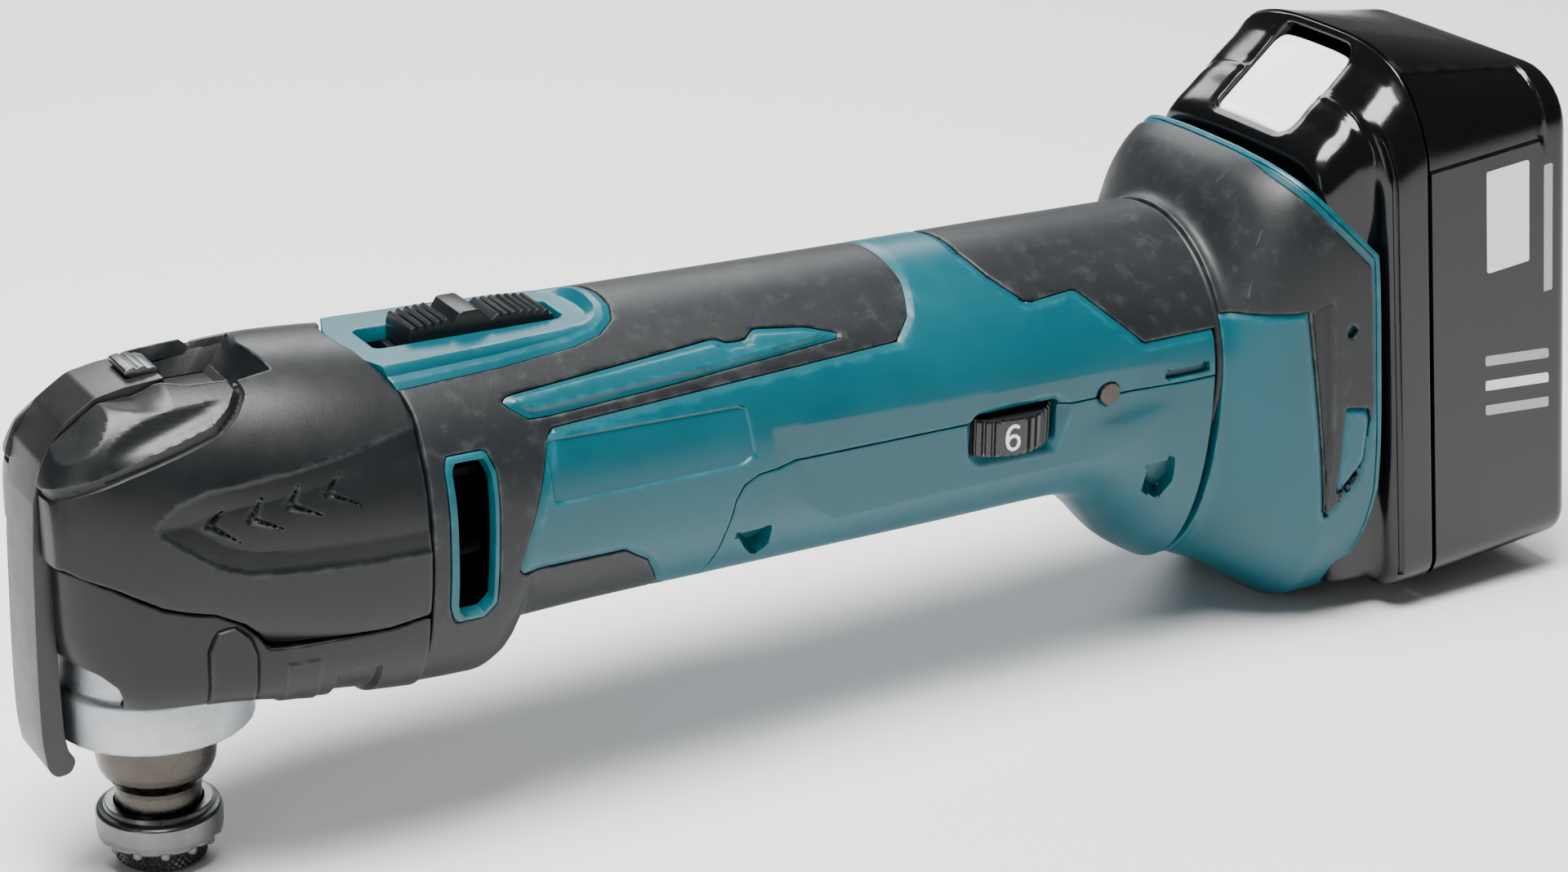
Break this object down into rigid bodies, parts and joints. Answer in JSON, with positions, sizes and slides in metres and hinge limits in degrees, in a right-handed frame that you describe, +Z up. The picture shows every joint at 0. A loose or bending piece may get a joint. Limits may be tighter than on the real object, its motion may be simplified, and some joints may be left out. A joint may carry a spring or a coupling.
{
  "type": "cordless oscillating multi-tool",
  "caption": "Cordless oscillating multi-tool with tool-less clamp lever, pinned accessory flange, slide switch, speed dial and slide-on battery.",
  "frame": {"origin": "middle of the whole tool's box in plan, on the level of the underside of the clamp bolt", "axes": "+X along the body from the spindle to the battery, +Z up along the spindle axis, +Y across to the right-hand side seen from the spindle end"},
  "size_m": [0.3528, 0.0736, 0.1365],
  "materials": {
    "teal_plastic": "moulded, satin, fine grain",
    "black_plastic": "moulded glass-filled nylon, satin",
    "black_rubber": "soft-touch overmould, satin",
    "gloss_black": "polished moulding",
    "cast_aluminium": "die cast, shot blasted",
    "steel": "ground",
    "dark_steel": "hardened, oil-blackened",
    "copper": "turned copper segments",
    "brass": "stamped",
    "carbon": "pressed carbon",
    "board_green": "circuit board",
    "cell_wrap": "shrink-wrapped cells",
    "white_plastic": "smooth moulding",
    "clear_lens": "clear moulded lens"
  },
  "bodies": {
    "root": {"air_baffle": "black_plastic", "brush_holder_left": "brass", "brush_holder_right": "brass", "carbon_brush_left": "carbon", "carbon_brush_right": "carbon", "clamp_spring": "steel", "controller": "black_plastic", "dial_board": "board_green", "front_overmould": "black_rubber", "gear_housing": "cast_aluminium", "head_cover": "black_plastic", "head_lower_cover": "black_plastic", "housing_screw_left": "dark_steel", "housing_screw_right": "dark_steel", "joint_ring": "black_rubber", "led_board": "board_green", "led_lens": "clear_lens", "lever_pin": "steel", "lower_cover": "teal_plastic", "motor_bearing_front": "steel", "motor_bearing_rear": "steel", "motor_end_plate": "black_plastic", "motor_field": "dark_steel", "motor_housing": "teal_plastic", "rear_grip": "black_rubber", "rear_housing_left": "teal_plastic", "rear_housing_right": "teal_plastic", "rear_overmould": "black_rubber", "rear_screw_left": "dark_steel", "rear_screw_right": "dark_steel", "spindle_bearing_lower": "steel", "spindle_bearing_upper": "steel", "switch_unit": "black_plastic", "terminal_block": "black_plastic", "terminal_negative": "brass", "terminal_positive": "brass"},
    "lever": {"lock_lever": "black_plastic", "lever_cam": "steel"},
    "plunger": {"clamp_plunger": "steel"},
    "spindle": {"spindle": "dark_steel", "accessory_flange": "steel", "swing_arm": "steel"},
    "bolt": {"clamp_bolt": "dark_steel"},
    "rotor": {"eccentric_shaft": "steel", "eccentric_bearing": "steel", "balance_weight": "steel", "armature": "dark_steel", "commutator": "copper", "fan": "black_plastic"},
    "switch": {"switch_knob": "black_plastic", "switch_rod": "black_plastic"},
    "dial": {"speed_dial": "gloss_black"},
    "battery": {"battery_case": "gloss_black", "battery_cover": "gloss_black", "cell_pack": "cell_wrap", "battery_board": "board_green"},
    "button": {"battery_button": "white_plastic"}
  },
  "joints": [
    {"name": "lever_hinge", "type": "hinge", "parent": "root", "child": "lever", "pos_m": [-0.16044, 0, 0.0953], "axis": [0, 1, 0], "range_deg": [0, 120]},
    {"name": "plunger_slide", "type": "slide", "parent": "root", "child": "plunger", "axis": [0, 0, -1], "range_m": [0, 0.002], "deforming": ["clamp_spring"]},
    {"name": "spindle_swing", "type": "hinge", "parent": "root", "child": "spindle", "pos_m": [-0.15144, 0, 0.0408], "axis": [0, 0, 1], "range_deg": [-1.6, 1.6]},
    {"name": "bolt_slide", "type": "slide", "parent": "spindle", "child": "bolt", "axis": [0, 0, -1], "range_m": [0, 0.03]},
    {"name": "motor_spin", "type": "hinge", "parent": "root", "child": "rotor", "pos_m": [-0.05144, 0, 0.0708], "axis": [1, 0, 0], "continuous": true},
    {"name": "switch_slide", "type": "slide", "parent": "root", "child": "switch", "axis": [-1, 0, 0], "range_m": [0, 0.004]},
    {"name": "dial_turn", "type": "hinge", "parent": "root", "child": "dial", "pos_m": [0.02806, -0.0183, 0.0668], "axis": [0, 0, 1], "range_deg": [-270, 0]},
    {"name": "battery_slide", "type": "slide", "parent": "root", "child": "battery", "axis": [-0.1127, 0, 0.9936], "range_m": [0, 0.115]},
    {"name": "button_slide", "type": "slide", "parent": "battery", "child": "button", "axis": [0.1127, 0, -0.9936], "range_m": [0, 0.004], "stiffness_N_per_m": 800, "springref_m": -0.003}
  ],
  "couplings": [
    {"joint": "plunger_slide", "follows": "lever_hinge", "m_per_rad": 0.00095016}
  ]
}
